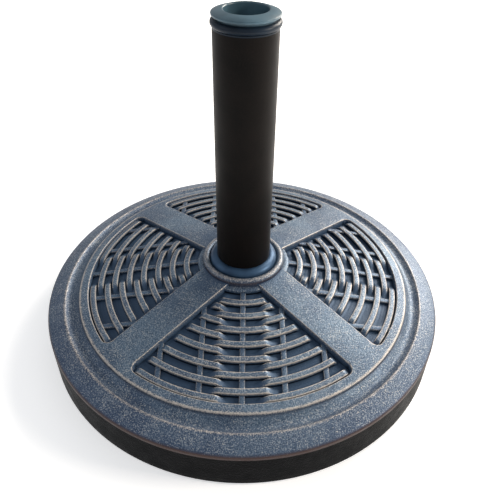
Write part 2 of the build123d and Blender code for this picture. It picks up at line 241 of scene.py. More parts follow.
def dry_brushed_polyresin():
    """Polyresin, sprayed metallic blue-grey, with pale bronze rubbed over its edges and grains.

    The metal in the spray gives it a sheen, which is lowered where the undercoat shows and where shade
    is painted. The specular level is linked for that, and its socket still holds an even value for the
    export.
    """
    finish, tree, surface, place = new_finish(
        "dry_brushed_polyresin", IOR=1.5, Specular_IOR_Level=0.4)
    clouds, patches, flecks, grains = [
        add_node(tree, "ShaderNodeTexNoise", {"Vector": place, "Scale": 1 / (size * MM), "Detail": 3.0})
        for size in (CLOUD_SIZE, PATCH_SIZE, FLECK_SIZE, GRAIN_SIZE)]
    rub, undercoat_and_shade, recess_shade = [
        add_node(tree, "ShaderNodeAttribute", out="Fac", attribute_name=name)
        for name in ("rub", "undercoat_and_shade", "recess_shade")]
    flat = add_node(tree, "ShaderNodeVectorMath", {0: place, 1: (1, 1, 0)}, operation="MULTIPLY")
    radius = add_node(tree, "ShaderNodeVectorMath", {0: flat}, out="Value", operation="LENGTH")
    outer = add_node(tree, "ShaderNodeMapRange", {0: radius, 1: (RIM_R - 2) * MM, 2: RIDGE_R * MM})
    uneven = add_node(tree, "ShaderNodeMath", {0: flecks, 1: 1.5, 2: -0.75}, operation="MULTIPLY_ADD")
    rubbed = add_node(tree, "ShaderNodeMath", {0: rub, 1: uneven}, operation="ADD")
    denser = add_node(tree, "ShaderNodeMath", {0: patches, 1: 0.18, 2: flecks}, operation="MULTIPLY_ADD")
    # Undercoat and painted shade leave fewer pale grains and less sheen.
    darkened = add_node(tree, "ShaderNodeMath", {0: undercoat_and_shade, 1: recess_shade}, operation="ADD")
    fleck = add_node(tree, "ShaderNodeMath", {0: darkened, 1: -0.3, 2: denser}, operation="MULTIPLY_ADD")
    skin = coated(
        tree, "#3d5068",
        ("#586d82", clouds, 0.35, 0.65, 1.0),  # paler clouds of spray
        ("#3a4761", outer, 0.0, 1.0, 0.5),  # bluer spray outside the inner rim
        ("#253345", flecks, 0.52, 0.36, 0.6),  # pits between the grains
        ("#a3adb4", fleck, 0.57, 0.75, 0.52),  # pale tops of the grains
        ("#b9ab98", fleck, 0.70, 0.82, 0.6),  # bronze on the highest ones
        ("#3a4e66", recess_shade, 0.1, 0.6, 0.9),  # darker ground of the gaps, partly painted shade
        ("#0b1119", recess_shade, 0.65, 1.0, 0.85),  # painted shade in corners and on strand sides
        ("#3a2723", undercoat_and_shade, 0.05, 0.5, 1.0),  # brown undercoat, and brown painted shade
        ("#08090b", undercoat_and_shade, 0.5, 1.0, 1.0),  # nearly black side, and painted shade in the socket
        ("#bab2a9", rubbed, 0.3, 0.95, 0.9),  # bronze rubbed over the edges
    )
    relief = add_node(tree, "ShaderNodeMath", {0: flecks, 1: grains}, operation="ADD")
    bump = add_node(tree, "ShaderNodeBump", {"Height": relief, "Distance": 0.6 * MM, "Strength": 0.5})
    gloss = add_node(tree, "ShaderNodeMapRange", {0: patches, 1: 0.3, 2: 0.7, 3: 0.38, 4: 0.5})
    sheen = add_node(tree, "ShaderNodeMapRange", {0: darkened, **DARKENED_ENDS, 3: 0.42, 4: 0.02})
    metal = add_node(tree, "ShaderNodeMapRange", {0: darkened, **DARKENED_ENDS, 3: 0.4, 4: 0.04})
    for output, label in ((skin, "Base Color"), (gloss, "Roughness"), (sheen, "Specular IOR Level"),
                          (metal, "Metallic"), (bump, "Normal")):
        tree.links.new(output, surface[label])
    return finish


resin = dry_brushed_polyresin()
print(f"{resin.name}: {len(resin.node_tree.nodes)} nodes")

# %% [markdown]
# ## The cast disc
# The disc is a revolved profile with four woven panels sunk into it. A boolean cut would leave long
# slivers along the rounded panel edges, so the mesh is laid out in rays instead. Each ray carries
# the same number of points, and they gather where the ray crosses a panel's edge. Where a ray
# misses the panels, those points fall together and are merged.

# %% Panel outline
PANEL_DEPTH = 8.0
PANEL_CORNER_R = 9.0
PANEL_EDGE_R = 0.9
PANEL_DRAFT = 1.0
QUARTER = math.pi / 2


def inside_panel(radius, turn):
    """How far a point lies inside a panel's outline, in millimetres, and negative outside it.

    turn is the angle from the middle line of the nearest spoke.
    """
    from_spoke = radius * np.sin(turn) - SPOKE_HALF
    from_rim = PANEL_R - radius
    rounded_off = PANEL_CORNER_R - np.hypot(PANEL_CORNER_R - from_spoke, PANEL_CORNER_R - from_rim)
    in_corner = (from_spoke < PANEL_CORNER_R) & (from_rim < PANEL_CORNER_R)
    return np.where(in_corner, rounded_off, np.minimum(from_spoke, from_rim))


def sunk(inside):
    """Depth under the deck: a rounded edge, a wall with draft, then the panel's floor."""
    over_edge = np.clip(inside + PANEL_EDGE_R, 0, PANEL_EDGE_R)
    edge = PANEL_EDGE_R - np.sqrt(PANEL_EDGE_R ** 2 - over_edge ** 2)
    return edge + np.clip(inside / PANEL_DRAFT, 0, 1) * (PANEL_DEPTH - PANEL_EDGE_R)


# %% Outlines with rounded corners
def rounded(corners, steps=5):
    """Points of an outline whose corners are (radius, height, rounding), in millimetres."""
    line = []
    for i, (across, up, rounding) in enumerate(corners):
        here = np.array((across, up))
        if not rounding:
            line.append(here)
            continue
        ways = [np.array(corners[j % len(corners)][:2]) - here for j in (i - 1, i + 1)]
        ways = [way / np.linalg.norm(way) for way in ways]
        half = math.acos(float(np.clip(ways[0] @ ways[1], -1, 1))) / 2
        middle = (ways[0] + ways[1]) / np.linalg.norm(ways[0] + ways[1])
        centre = here + middle * rounding / math.sin(half)
        spokes = [here + way * rounding / math.tan(half) - centre for way in ways]
        spread = math.pi - 2 * half
        for step in range(steps + 1):
            share = step / steps
            weights = math.sin((1 - share) * spread), math.sin(share * spread)
            line.append(centre + (spokes[0] * weights[0] + spokes[1] * weights[1]) / math.sin(spread))
    return line


def finer(line, longest):
    """The same open line, with points added so that no step is longer than the longest."""
    result = [line[0]]
    for start, end in zip(line, line[1:]):
        parts = max(1, math.ceil(np.linalg.norm(end - start) / longest))
        result += [start + (end - start) * part / parts for part in range(1, parts + 1)]
    return result


# %% Profiles inside and outside the panels
COVE_FALL = 2.45
COVE_SAG = 4.8
WALL = 7


def hub_ring_profile():
    """From the collar's shelf up over the hub ring and down to the deck."""
    radius = HUB_RING_WIDTH / 2
    centre = np.array((HUB_SOCKET_R + radius, shell_high.z / MM - radius))
    crown = [centre + radius * np.array((-math.cos(turn), math.sin(turn)))
             for turn in np.linspace(0, math.pi, 13)]
    return [np.array((HUB_SOCKET_R, deck_z(HUB_RING_R) - 3.0))] + crown


def outer_profile():
    """From the deck's edge down the step, through the cove, over the ridge and down the side."""
    cove = [(COVE_END_R + COVE_WIDTH * share,
             RIDGE_Z + COVE_FALL * (1 - share)
             - COVE_SAG * 4 * share * (1 - share) * (1 - 0.25 * share), 0)
            for share in np.linspace(0.12, 0.9, 8)]
    line = rounded([
        (RIM_R - 3, deck_z(RIM_R - 3), 0), (RIM_R, RIM_Z, 1.2), (COVE_END_R, RIDGE_Z + 1.4, 0.8), *cove,
        (RIDGE_R, RIDGE_Z, 1.0), (BASE_R - 9, SIDE_TOP_Z + 3.7, 12.0), (BASE_R, SIDE_TOP_Z + 0.3, 3.5),
        (BASE_R, SIDE_TOP_Z - 8, 0)])
    low = rounded([(BASE_R, FOOT_Z + 9, 0), (BASE_R, FOOT_Z, 1.0), (BASE_R - WALL, FOOT_Z, 0)])[:-1]
    return finer(line, 1.0) + low


def underside_profile():
    """From the bottom edge up the inside of the side, under the deck, and round the bolt's spigot."""
    side = BASE_R - WALL
    return [np.array(p) for p in (
        (side, FOOT_Z), (side, 32.0), (side - 7, 41.0), (RIM_R, RIM_Z - 14), (48.1, 68.7), (48.1, 56.0),
        (16.0, 56.0), (16.0, 23.0), (5.6, 23.0), (5.6, 66.0), (33.5, 66.0), (33.5, 80.0))]


# %% Rays of the disc
# A ray has a point at each of these levels inside a panel's outline, once going in and once out.
LEVELS = (-2.4, -1.3, -PANEL_EDGE_R, -0.6 * PANEL_EDGE_R, -0.25 * PANEL_EDGE_R, 0.0, PANEL_DRAFT, 2.6)
DECK_STEPS = 5
FLOOR_STEPS = 3


def ray_angles():
    """Angles from a spoke's middle line to a panel's, closer together round the panel's corner."""
    along_spoke = np.arcsin(SPOKE_HALF / np.linspace(HUB_RING_R, 168.0, 30))
    past_hub = np.linspace(np.arcsin(SPOKE_HALF / HUB_RING_R), QUARTER / 2, 14)[1:]
    corner = np.radians(np.linspace(6.5, 10.0, 15))
    in_spoke = np.radians([0, 2, 4, 5.5])
    return np.unique(np.round(np.concatenate([in_spoke, corner, along_spoke, past_hub]), 6))


def ray_points(turn):
    """Radii from the hub ring to the rim along one ray, as many on every ray."""
    radii = np.linspace(HUB_RING_R, RIM_R - 3, 6000)
    inside = inside_panel(radii, turn)
    peak = len(inside) - 1 - int(np.argmax(inside[::-1]))
    going_in = np.interp(LEVELS, inside[:peak + 1], radii[:peak + 1])
    going_out = np.interp(LEVELS, inside[peak:][::-1], radii[peak:][::-1])
    deck = np.linspace(min(HUB_RING_R + 1.8, going_in[0]), going_in[0], DECK_STEPS)[:-1]
    ground = np.linspace(going_in[-1], going_out[-1], FLOOR_STEPS + 2)[1:-1]
    return np.concatenate([[HUB_RING_R], deck, going_in, ground, going_out[::-1]])


# %% [markdown]
# ## Wear and painted shade on the disc
# The bronze is thickest on the edges that a brush meets first. Shade is painted into the panels and
# at the foot of their walls, round the hub ring's foot, at the step under the rim and in the collar's
# socket, and the pale band in the cove is partly bronze and partly a painted highlight. A painted
# texture could say where, but the edges are known exactly here, so all of it is worked out from the
# distance to each edge and kept on the disc's points as attributes.

# %% How strong the wear and the painted shade are at each edge, and how wide in millimetres
# ridge, rim, lip, crest, panel_edge and band are bronze and undercoat; cove is partly a painted highlight;
# step, ring_low, ring_foot and wall_foot are painted shade.
WEAR_AND_SHADE = {
    "ridge": (0.62, 2.6), "cove": (0.24, 5.0), "rim": (0.8, 2.3), "lip": (0.45, 1.5), "crest": (0.6, 3.6),
    "panel_edge": (0.85, 0.6), "band": (0.5, 3.2), "step": (0.18, 1.6), "ring_low": (0.35, 2.2),
    "ring_foot": (0.95, 1.3), "wall_foot": (1.0, 0.8),
}


def edge_mark(edge, *distances):
    """The wear or painted shade at points this far from an edge, in one direction or in two."""
    strength, width = WEAR_AND_SHADE[edge]
    distance = np.hypot(*distances) if len(distances) == 2 else distances[0]
    return strength * np.exp(-(distance / width) ** 2)


def wear_and_shade(radius, height, inside):
    """Bronze rub, undercoat with painted shade, and recess shade at points of the disc, from how near they
    are to its edges.
    """
    on_top = height > deck_z(radius) - 1.2
    ring_z = deck_z(HUB_RING_R)
    crest = edge_mark("crest", radius - HUB_SOCKET_R - 0.62 * HUB_RING_WIDTH) * (height > ring_z + 1.5)
    panel_edge = edge_mark("panel_edge", inside + 0.45) * on_top * (radius > HUB_RING_R + 1)
    # The pale band in the cove beside the ridge is partly bronze and partly a painted highlight.
    rub = np.maximum.reduce([
        edge_mark("ridge", radius - RIDGE_R, height - RIDGE_Z), edge_mark("cove", radius - RIDGE_R + 6.0),
        edge_mark("rim", radius - RIM_R + 0.4, height - RIM_Z),
        edge_mark("lip", radius - BASE_R + 2.5, height - SIDE_TOP_Z), crest, panel_edge])
    side = np.clip((SIDE_TOP_Z - 2.5 - height) / 2.5, 0, 1) * (radius > BASE_R - 4)
    band = edge_mark("band", radius - BASE_R, height - SIDE_TOP_Z + 2.0)
    # Painted shade: brown at the step under the rim and round the hub ring's foot, nearly black in the
    # collar's socket.
    step = edge_mark("step", np.maximum(radius - COVE_END_R - 0.3, 0)) * (radius > RIM_R - 0.2)
    socket = 0.9 * (radius < HUB_SOCKET_R + 0.5)
    ring_low = edge_mark("ring_low", radius - HUB_RING_R + 0.6, height - ring_z - 1.5)
    undercoat_and_shade = np.maximum.reduce([side, band, step, socket, ring_low])
    # Painted shade: the panels' ground, partly its own darker tone, and the feet of their walls and of the
    # hub ring.
    ground = 0.55 * np.clip(sunk(inside) / 2.5, 0, 1)
    in_panel = np.maximum(ground, edge_mark("wall_foot", inside - 0.7)) * (radius < PANEL_R + 2)
    recess_shade = np.maximum(in_panel, edge_mark("ring_foot", radius - HUB_RING_R - 0.2, height - ring_z))
    return {"rub": rub, "undercoat_and_shade": undercoat_and_shade, "recess_shade": recess_shade}


# %% Build the disc
OUTSIDE = -9.0


def cast_disc():
    """The whole casting as one closed mesh. Its profiles off the panels count as OUTSIDE them."""
    octant = ray_angles()
    turns = np.concatenate([octant, QUARTER - octant[-2:0:-1]])
    outer, under, ring = outer_profile(), underside_profile(), hub_ring_profile()
    beyond = outer + under
    points, marks = [], []
    for quarter in range(4):
        for turn in turns:
            from_spoke = min(turn, QUARTER - turn)
            middle = ray_points(from_spoke)
            inside = inside_panel(middle, from_spoke)
            radius = np.concatenate([[p[0] for p in ring], middle, [p[0] for p in beyond]])
            height = np.concatenate([[p[1] for p in ring], deck_z(middle) - sunk(inside),
                                     [p[1] for p in beyond]])
            all_inside = np.concatenate([np.full(len(ring), OUTSIDE), inside,
                                         np.full(len(beyond), OUTSIDE)])
            angle = QUARTER * (quarter + 0.5) + turn
            places = [radius * math.cos(angle), radius * math.sin(angle), height]
            points.append(np.stack(places, 1) * MM)
            marks.append(wear_and_shade(radius, height, all_inside))
    rays, stations = len(points), len(points[0])
    faces = [(a * stations + s, b * stations + s, b * stations + t, a * stations + t)
             for a, b in ((ray, (ray + 1) % rays) for ray in range(rays))
             for s, t in ((station, (station + 1) % stations) for station in range(stations))]
    attributes = {name: np.concatenate([ray[name] for ray in marks]) for name in marks[0]}
    return mesh_piece("cast_disc", np.concatenate(points), faces, attributes)


disc = cast_disc()
disc.data.materials.append(resin)
disc_box = [disc.bound_box[0][:], disc.bound_box[6][:]]
print("disc box, metres:", [round(v, 4) for corner in disc_box for v in corner])

# %% [markdown]
# ## The weave
# Each panel shows round strands woven over and under straight stakes. Every strand follows the same
# rule, and so does every stake, so Geometry Nodes make them: one tree lays out the strands of all
# four panels from a handful of sizes, and a second one the stakes. A strand's height comes from
# where it is across the panel. It stands high over one stake and dips under the next.


# %% Grow a tree into a mesh
def new_tree(name, sizes):
    """An empty Geometry Nodes tree whose inputs are named sizes and a material."""
    tree = bpy.data.node_groups.new(name, "GeometryNodeTree")
    tree.interface.new_socket("Geometry", in_out="OUTPUT", socket_type="NodeSocketGeometry")
    for label, value in sizes.items():
        kind = "NodeSocketInt" if isinstance(value, int) else "NodeSocketFloat"
        tree.interface.new_socket(label, in_out="INPUT", socket_type=kind)
    tree.interface.new_socket("Material", in_out="INPUT", socket_type="NodeSocketMaterial")
    return tree, tree.nodes.new("NodeGroupInput").outputs


def grow(name, tree, values):
    """Evaluates a tree with these values into a plain mesh object."""
    host = bpy.data.objects.new(name, bpy.data.meshes.new(name))
    bpy.context.scene.collection.objects.link(host)
    modifier = host.modifiers.new("grow", "NODES")
    modifier.node_group = tree
    for item in tree.interface.items_tree:
        if item.in_out == "INPUT":
            modifier[item.identifier] = values[item.name]
    depsgraph = bpy.context.evaluated_depsgraph_get()
    mesh = bpy.data.meshes.new_from_object(host.evaluated_get(depsgraph), preserve_all_data_layers=True,
                                           depsgraph=depsgraph)
    host.modifiers.remove(modifier)
    host.data = mesh
    mesh.materials.clear()
    mesh.materials.append(values["Material"])
    mesh.polygons.foreach_set("material_index", [0] * len(mesh.polygons))
    mesh.shade_smooth()
    mesh.set_sharp_from_angle(angle=SHARP_EDGE)
    print(f"{name}: {len(mesh.vertices)} points, {len(mesh.polygons)} faces")
    return host


# %% Lines that carry their number
def numbered_lines(tree, count, steps):
    """Lines from 0 to 1 along X, each with its own number kept as an attribute."""
    line = add_node(tree, "GeometryNodeMeshLine", {"Count": steps + 1, "Offset": (1 / steps, 0, 0)})
    starts = add_node(tree, "GeometryNodeMeshLine", {"Count": count, "Offset": (0, 0, 0)})
    copies = add_node(tree, "GeometryNodeInstanceOnPoints", {"Points": starts, "Instance": line})
    index = add_node(tree, "GeometryNodeInputIndex")
    numbered = add_node(tree, "GeometryNodeStoreNamedAttribute",
                        {"Geometry": copies, "Name": "number", "Value": index},
                        data_type="FLOAT", domain="INSTANCE")
    return add_node(tree, "GeometryNodeRealizeInstances", {"Geometry": numbered})


# %% A band along a line
HELD = 0.82
EDGE_RUB = {1: 0.45, 2: 0.88, 3: 0.26, 4: 1.0}
RUB_FADES = {1: 2.6 * MM, 2: 0.9 * MM}
SIDE_SHADE_RAMP = {1: 1.6 * MM, 2: 3.0 * MM}


def banded(tree, lines, width, height, fullness=1.0):
    """A band with rounded edges along each line, its top on the line, narrower where it is less full.

    It starts as a circle of radius 1, whose points past HELD are held back at the band's sides. The
    section's Y runs down into the disc. On its points, rub marks the two long edges, fading down the
    sides, and a second attribute puts painted shade on the sides below them.
    """
    circle = add_node(tree, "GeometryNodeCurvePrimitiveCircle", {"Resolution": 16, "Radius": 1.0})
    half = add_node(tree, "ShaderNodeMath", {0: width, 1: 0.5}, operation="MULTIPLY")
    other_half = add_node(tree, "ShaderNodeMath", {0: width, 1: -0.5}, operation="MULTIPLY")
    top_left = add_node(tree, "ShaderNodeCombineXYZ", {"X": other_half})
    bottom_right = add_node(tree, "ShaderNodeCombineXYZ", {"X": half, "Y": height})
    place = add_node(tree, "GeometryNodeInputPosition")
    held = add_node(tree, "ShaderNodeMapRange",
                    {"Vector": place, 7: (-HELD,) * 3, 8: (HELD,) * 3, 9: top_left, 10: bottom_right},
                    out="Vector", data_type="FLOAT_VECTOR", clamp=True)
    section = add_node(tree, "GeometryNodeSetPosition", {"Geometry": circle, "Position": held})
    across = add_node(tree, "ShaderNodeSeparateXYZ", {0: place})
    down = across.node.outputs["Y"]
    side_way = add_node(tree, "ShaderNodeMath", {0: across}, operation="ABSOLUTE")
    share = add_node(tree, "ShaderNodeMath", {0: side_way, 1: half}, operation="DIVIDE")
    near_edge = add_node(tree, "ShaderNodeMapRange", {0: share, **EDGE_RUB})
    near_top = add_node(tree, "ShaderNodeMapRange", {0: down, **RUB_FADES})
    on_side = add_node(tree, "ShaderNodeMapRange", {0: down, **SIDE_SHADE_RAMP})
    edge = add_node(tree, "ShaderNodeMath", {0: near_edge, 1: near_top}, operation="MULTIPLY")
    for label, value in (("rub", edge), ("recess_shade", on_side)):
        section = add_node(tree, "GeometryNodeStoreNamedAttribute",
                           {"Geometry": section, "Name": label, "Value": value}, data_type="FLOAT")
    curves = add_node(tree, "GeometryNodeMeshToCurve", {0: lines})
    upright = add_node(tree, "GeometryNodeSetCurveNormal", {0: curves}, mode="Z_UP")
    sized = add_node(tree, "GeometryNodeSetCurveRadius", {"Curve": upright, "Radius": fullness})
    return add_node(tree, "GeometryNodeCurveToMesh", {0: sized, 1: section, "Fill Caps": True})


# %% Laid on all four panels
def laid_on_panels(tree, relief, material):
    """Bends a flat relief onto the cone of the top, and repeats it for the four panels."""
    place = add_node(tree, "GeometryNodeInputPosition")
    level = add_node(tree, "ShaderNodeVectorMath", {0: place, 1: (1, 1, 0)}, operation="MULTIPLY")
    radius = add_node(tree, "ShaderNodeVectorMath", {0: level}, out="Value", operation="LENGTH")
    cone = add_node(tree, "ShaderNodeMapRange",
                    {0: radius, 1: 0.0, 2: RIM_R * MM, 3: deck_z(0) * MM, 4: RIM_Z * MM}, clamp=False)
    lift = add_node(tree, "ShaderNodeCombineXYZ", {"Z": cone})
    draped = add_node(tree, "GeometryNodeSetPosition", {"Geometry": relief, "Offset": lift})
    centre = add_node(tree, "GeometryNodeMeshLine", {"Count": 4, "Offset": (0, 0, 0)})
    turn = add_node(tree, "ShaderNodeMath", {0: add_node(tree, "GeometryNodeInputIndex"), 1: QUARTER},
                    operation="MULTIPLY")
    spin = add_node(tree, "ShaderNodeCombineXYZ", {"Z": turn})
    copies = add_node(tree, "GeometryNodeInstanceOnPoints",
                      {"Points": centre, "Instance": draped, "Rotation": spin})
    whole = add_node(tree, "GeometryNodeRealizeInstances", {"Geometry": copies})
    painted = add_node(tree, "GeometryNodeSetMaterial", {"Geometry": whole, "Material": material})
    tree.links.new(painted, tree.nodes.new("NodeGroupOutput").inputs[0])


# %% Sizes of the strands, and how they rise and fall
STRANDS = {
    "Rows": 16, "First Radius": 49.55 * MM, "Row Pitch": 8.31 * MM, "Width": 6.7 * MM, "Height": 6.4 * MM,
    "Over Depth": 2.0 * MM, "Under Depth": 7.8 * MM, "Spoke Half": SPOKE_HALF * MM,
}
STRAND_STEPS = 90
BURIED_END = 1.2 * MM
OVER_MIDDLE = {1: 37 * MM, 2: 19 * MM}
OVER_SIDES = {1: 11 * MM, 2: 29 * MM}
OFF_WALL = {1: 1.0 * MM, 2: 12 * MM}
TAPER = {1: 0.0, 2: 0.8, 3: 0.4, 4: 1.0}
BRUSHED = {1: 0.2, 2: 0.75, 3: 0.1, 4: 1.0}
STRIP_BRUSHED = {1: 0.0, 2: 1.0, 3: 0.2, 4: 1.0}
DARK_BELOW = {1: 0.95, 2: 0.3, 3: 0.0, 4: 0.7}


# %% A strand's arc
def strand_arc(tree, sizes, number):
    """The place along a strand, how far it is from the panel's middle line, and how far from its end."""
    radius = add_node(tree, "ShaderNodeMath", {0: number, 1: sizes["Row Pitch"], 2: sizes["First Radius"]},
                      operation="MULTIPLY_ADD")
    share = add_node(tree, "ShaderNodeMath", {0: sizes["Spoke Half"], 1: radius}, operation="DIVIDE")
    to_spoke = add_node(tree, "ShaderNodeMath", {0: share}, operation="ARCSINE")
    buried = add_node(tree, "ShaderNodeMath", {0: BURIED_END, 1: radius}, operation="DIVIDE")
    wall = add_node(tree, "ShaderNodeMath", {0: buried, 1: to_spoke}, operation="SUBTRACT")
    half_turn = add_node(tree, "ShaderNodeMath", {0: wall, 1: QUARTER / 2}, operation="ADD")
    along = add_node(tree, "ShaderNodeSeparateXYZ", {0: add_node(tree, "GeometryNodeInputPosition")})
    signed = add_node(tree, "ShaderNodeMath", {0: along, 1: 2.0, 2: -1.0}, operation="MULTIPLY_ADD")
    turn = add_node(tree, "ShaderNodeMath", {0: signed, 1: half_turn}, operation="MULTIPLY")
    outwards = add_node(tree, "ShaderNodeMath", {0: radius, 1: -1.0}, operation="MULTIPLY")
    start = add_node(tree, "ShaderNodeCombineXYZ", {"Y": outwards})
    place = add_node(tree, "ShaderNodeVectorRotate", {"Vector": start, "Angle": turn},
                     rotation_type="Z_AXIS")
    across = add_node(tree, "ShaderNodeSeparateXYZ", {0: place})
    offset = add_node(tree, "ShaderNodeMath", {0: across}, operation="ABSOLUTE")
    length = add_node(tree, "ShaderNodeMath", {0: radius, 1: half_turn}, operation="MULTIPLY")
    from_middle = add_node(tree, "ShaderNodeMath", {0: signed}, operation="ABSOLUTE")
    to_end = add_node(tree, "ShaderNodeMath", {0: 1.0, 1: from_middle}, operation="SUBTRACT")
    end_gap = add_node(tree, "ShaderNodeMath", {0: to_end, 1: length}, operation="MULTIPLY")
    return place, offset, end_gap


# %% Where a strand is up
def strand_height(tree, number, offset, end_gap):
    """1 where a strand is over a stake and 0 where it is under. The innermost, a plain strip, stays up."""
    middle, sides, ends = [
        add_node(tree, "ShaderNodeMapRange", {0: distance, **rise}, interpolation_type="SMOOTHSTEP")
        for distance, rise in ((offset, OVER_MIDDLE), (offset, OVER_SIDES), (end_gap, OFF_WALL))]
    odd = add_node(tree, "ShaderNodeMath", {0: number, 1: 2.0}, operation="FLOORED_MODULO")
    woven = add_node(tree, "ShaderNodeMix", {0: odd, 2: middle, 3: sides})
    raised = add_node(tree, "ShaderNodeMath", {0: woven, 1: ends}, operation="MULTIPLY")
    is_strip = add_node(tree, "ShaderNodeMath", {0: number, 1: 0.5}, operation="LESS_THAN")
    return add_node(tree, "ShaderNodeMath", {0: raised, 1: is_strip}, operation="MAXIMUM")


# %% Tree of the strands
def strand_tree():
    """Every strand of a panel: an arc that rises over its stakes and dips under the others."""
    tree, sizes = new_tree("woven_strands", STRANDS)
    lines = numbered_lines(tree, sizes["Rows"], STRAND_STEPS)
    number, lifted, edge, side = [
        add_node(tree, "GeometryNodeInputNamedAttribute", {"Name": name}, data_type="FLOAT")
        for name in ("number", "raised", "rub", "recess_shade")]
    place, offset, end_gap = strand_arc(tree, sizes, number)
    high = strand_height(tree, number, offset, end_gap)
    # The height is kept before the points move, because it is worked out from where they start.
    kept = add_node(tree, "GeometryNodeStoreNamedAttribute",
                    {"Geometry": lines, "Name": "raised", "Value": high}, data_type="FLOAT")
    depth = add_node(tree, "ShaderNodeMapRange",
                     {0: high, 1: 0.0, 2: 0.85, 3: sizes["Under Depth"], 4: sizes["Over Depth"]})
    down = add_node(tree, "ShaderNodeMath", {0: depth, 1: -1.0}, operation="MULTIPLY")
    sink = add_node(tree, "ShaderNodeCombineXYZ", {"Z": down})
    path = add_node(tree, "ShaderNodeVectorMath", {0: place, 1: sink}, operation="ADD")
    laid = add_node(tree, "GeometryNodeSetPosition", {"Geometry": kept, "Position": path})
    fullness = add_node(tree, "ShaderNodeMapRange", {0: lifted, **TAPER})
    bands = banded(tree, laid, sizes["Width"], sizes["Height"], fullness)
    # A brush misses what is down in the weave and the strip by the hub; what is down gets painted shade.
    exposed = add_node(tree, "ShaderNodeMapRange", {0: lifted, **BRUSHED})
    past_strip = add_node(tree, "ShaderNodeMapRange", {0: number, **STRIP_BRUSHED})
    brushed = add_node(tree, "ShaderNodeMath", {0: exposed, 1: past_strip}, operation="MULTIPLY")
    rubbed = add_node(tree, "ShaderNodeMath", {0: edge, 1: brushed}, operation="MULTIPLY")
    # Painted shade darkens a strand as it dips under the stakes.
    sunken = add_node(tree, "ShaderNodeMapRange", {0: lifted, **DARK_BELOW})
    darker = add_node(tree, "ShaderNodeMath", {0: side, 1: sunken}, operation="MAXIMUM")
    for label, value in (("rub", rubbed), ("recess_shade", darker)):
        bands = add_node(tree, "GeometryNodeStoreNamedAttribute",
                         {"Geometry": bands, "Name": label, "Value": value}, data_type="FLOAT")
    laid_on_panels(tree, bands, sizes["Material"])
    return tree


strands = grow("woven_strands", strand_tree(), {**STRANDS, "Material": resin})

# %% Tree of the stakes
STAKES = {
    "Stakes": 5, "Pitch": 41.5 * MM, "Width": 5.8 * MM, "Height": 4.6 * MM, "Depth": 4.3 * MM,
    "Spoke Corner": SPOKE_HALF * math.sqrt(2) * MM, "Hub Radius": (HUB_RING_R + 2.4) * MM,
    "Panel Radius": (PANEL_R + 0.8) * MM,
}
STAKE_STEPS = 12
MIDDLE_STAKE = 2.0
STAKE_RUB = 0.6
# The stakes lie under the strands, so each gets a little painted shade all over.
STAKE_SHADE = 0.3


def stake_tree():
    """The straight stakes of a panel, each from its spoke or the hub out to the rim."""
    tree, sizes = new_tree("straight_stakes", STAKES)
    lines = numbered_lines(tree, sizes["Stakes"], STAKE_STEPS)
    number, edge, side = [
        add_node(tree, "GeometryNodeInputNamedAttribute", {"Name": name}, data_type="FLOAT")
        for name in ("number", "rub", "recess_shade")]
    from_middle = add_node(tree, "ShaderNodeMath", {0: number, 1: MIDDLE_STAKE}, operation="SUBTRACT")
    across = add_node(tree, "ShaderNodeMath", {0: from_middle, 1: sizes["Pitch"]}, operation="MULTIPLY")
    offset = add_node(tree, "ShaderNodeMath", {0: across}, operation="ABSOLUTE")
    at_spoke = add_node(tree, "ShaderNodeMath", {0: offset, 1: sizes["Spoke Corner"]}, operation="ADD")
    start = add_node(tree, "ShaderNodeMath", {0: at_spoke, 1: sizes["Hub Radius"]}, operation="MAXIMUM")
    squares = [add_node(tree, "ShaderNodeMath", {0: value, 1: 2.0}, operation="POWER")
               for value in (sizes["Panel Radius"], offset)]
    left_over = add_node(tree, "ShaderNodeMath", {0: squares[0], 1: squares[1]}, operation="SUBTRACT")
    end = add_node(tree, "ShaderNodeMath", {0: left_over}, operation="SQRT")
    along = add_node(tree, "ShaderNodeSeparateXYZ", {0: add_node(tree, "GeometryNodeInputPosition")})
    outwards = add_node(tree, "ShaderNodeMapRange", {0: along, 3: start, 4: end})
    away = add_node(tree, "ShaderNodeMath", {0: outwards, 1: -1.0}, operation="MULTIPLY")
    sink = add_node(tree, "ShaderNodeMath", {0: sizes["Depth"], 1: -1.0}, operation="MULTIPLY")
    path = add_node(tree, "ShaderNodeCombineXYZ", {"X": across, "Y": away, "Z": sink})
    laid = add_node(tree, "GeometryNodeSetPosition", {"Geometry": lines, "Position": path})
    bands = banded(tree, laid, sizes["Width"], sizes["Height"])
    rubbed = add_node(tree, "ShaderNodeMath", {0: edge, 1: STAKE_RUB}, operation="MULTIPLY")
    darker = add_node(tree, "ShaderNodeMath", {0: side, 1: STAKE_SHADE}, operation="MAXIMUM")
    for label, value in (("rub", rubbed), ("recess_shade", darker)):
        bands = add_node(tree, "GeometryNodeStoreNamedAttribute",
                         {"Geometry": bands, "Name": label, "Value": value}, data_type="FLOAT")
    laid_on_panels(tree, bands, sizes["Material"])
    return tree


stakes = grow("straight_stakes", stake_tree(), {**STAKES, "Material": resin})
for relief in (strands, stakes):
    heights = [v.co.z / MM for v in relief.data.vertices]
    print(f"{relief.name}: from {min(heights):.1f} to {max(heights):.1f} mm high")

# %% [markdown]
# ## Turned pieces
# The tube, its collar, the cap and the loose reducer are all round, so each is one closed outline
# swept about the upright axis. Their outlines take their sizes from the frame, and small roundings on
# the edges catch the light as real edges do.


